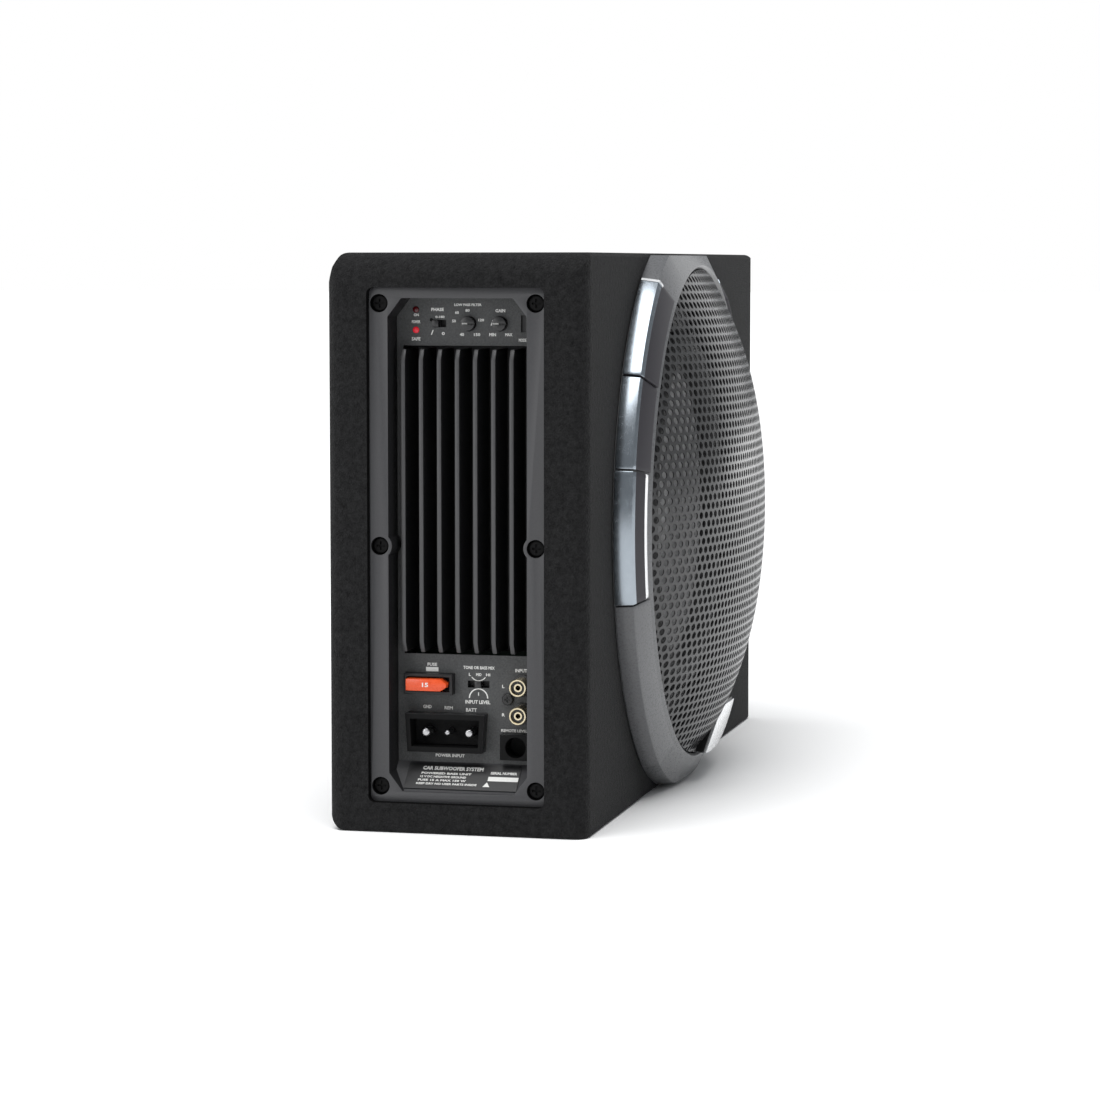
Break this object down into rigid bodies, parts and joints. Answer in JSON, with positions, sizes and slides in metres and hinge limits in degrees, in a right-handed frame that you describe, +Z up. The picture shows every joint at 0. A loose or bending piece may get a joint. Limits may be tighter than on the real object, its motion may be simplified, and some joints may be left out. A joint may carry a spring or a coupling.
{
  "type": "powered car subwoofer",
  "caption": "Carpeted low-profile box with a domed perforated grille over a woofer and an amplifier panel with heat sink fins recessed in one end.",
  "frame": {"origin": "bottom centre of the whole object's box, on the surface it stands on", "axes": "+X along the box away from the amplifier panel, -Y the way the grille faces, +Z up"},
  "size_m": [0.432, 0.1666, 0.268],
  "materials": {
    "carpet": "matte felted carpet",
    "board": "raw fibreboard",
    "basket_steel": "satin",
    "gasket_foam": "matte",
    "surround_rubber": "satin",
    "cone_paper": "satin",
    "spider_cloth": "matte",
    "former": "satin",
    "copper": "satin",
    "plated_steel": "satin",
    "ferrite": "matte",
    "ring_plastic": "satin",
    "accent_lacquer": "gloss",
    "grille_steel": "satin",
    "badge_metal": "satin",
    "bezel_plastic": "satin",
    "screw_black": "satin",
    "label_black": "satin",
    "panel_paint": "fine texture",
    "sink_black": "black anodised",
    "board_green": "satin",
    "component_black": "satin",
    "capacitor_blue": "gloss",
    "knob_black": "satin",
    "led_red": "lit",
    "socket_gold": "plated",
    "insulator_dark": "satin",
    "fuse_orange": "translucent",
    "wire_jacket": "satin"
  },
  "bodies": {
    "cabinet": {"carpet_wrap": "carpet", "carpet_bottom": "carpet", "board_top": "board", "board_bottom": "board", "board_back": "board", "board_baffle": "board", "board_amp_end": "board", "board_far_end": "board", "basket": "basket_steel", "basket_gasket": "gasket_foam", "basket_screws": "screw_black", "surround": "surround_rubber", "spider": "spider_cloth", "top_plate": "plated_steel", "magnet": "ferrite", "yoke": "plated_steel", "terminal_board": "former", "terminal_lugs": "socket_gold", "tinsel_leads": "copper", "speaker_wires": "wire_jacket", "trim_ring": "ring_plastic", "accents_near": "accent_lacquer", "accents_far": "accent_lacquer", "grille": "grille_steel", "badge_plate": "badge_metal", "amp_bezel": "bezel_plastic", "amp_gasket": "gasket_foam", "bezel_screws": "screw_black", "rating_plate": "label_black", "control_plate": "panel_paint", "plate_screw": "plated_steel", "heat_sink": "sink_black", "amp_cover": "plated_steel", "control_board": "board_green", "input_board": "board_green", "main_board": "board_green", "power_transistors": "component_black", "capacitors": "capacitor_blue", "inductor": "copper", "pots": "component_black", "phase_switch": "component_black", "level_switch": "component_black", "slot_insert": "component_black", "status_leds": "led_red", "rca_shells": "socket_gold", "rca_insulators": "insulator_dark", "rca_block": "component_black", "fuse_holder": "component_black", "power_socket": "component_black", "power_pins": "plated_steel", "remote_socket": "component_black"},
    "cone_assembly": {"cone": "cone_paper", "dust_cap": "cone_paper", "coil_former": "former", "coil_winding": "copper"},
    "frequency_control": {"frequency_knob": "knob_black"},
    "gain_control": {"gain_knob": "knob_black"},
    "phase_control": {"phase_lever": "knob_black"},
    "level_control": {"level_lever": "knob_black"},
    "fuse": {"blade_fuse": "fuse_orange"}
  },
  "joints": [
    {"name": "cone_travel", "type": "slide", "parent": "cabinet", "child": "cone_assembly", "axis": [0, -1, 0], "range_m": [-0.006, 0.006], "stiffness_N_per_m": 3000, "deforming": ["surround", "spider", "tinsel_leads"]},
    {"name": "frequency_turn", "type": "hinge", "parent": "cabinet", "child": "frequency_control", "pos_m": [-0.196, 0.01975, 0.2353], "axis": [1, 0, 0], "range_deg": [-140, 140]},
    {"name": "gain_turn", "type": "hinge", "parent": "cabinet", "child": "gain_control", "pos_m": [-0.196, 0.00485, 0.2353], "axis": [1, 0, 0], "range_deg": [-140, 140]},
    {"name": "phase_slide", "type": "slide", "parent": "cabinet", "child": "phase_control", "axis": [0, -1, 0], "range_m": [0, 0.0032]},
    {"name": "level_slide", "type": "slide", "parent": "cabinet", "child": "level_control", "axis": [0, -1, 0], "range_m": [-0.0034, 0.0034]},
    {"name": "fuse_pull", "type": "slide", "parent": "cabinet", "child": "fuse", "axis": [-1, 0, 0], "range_m": [0, 0.015]}
  ]
}
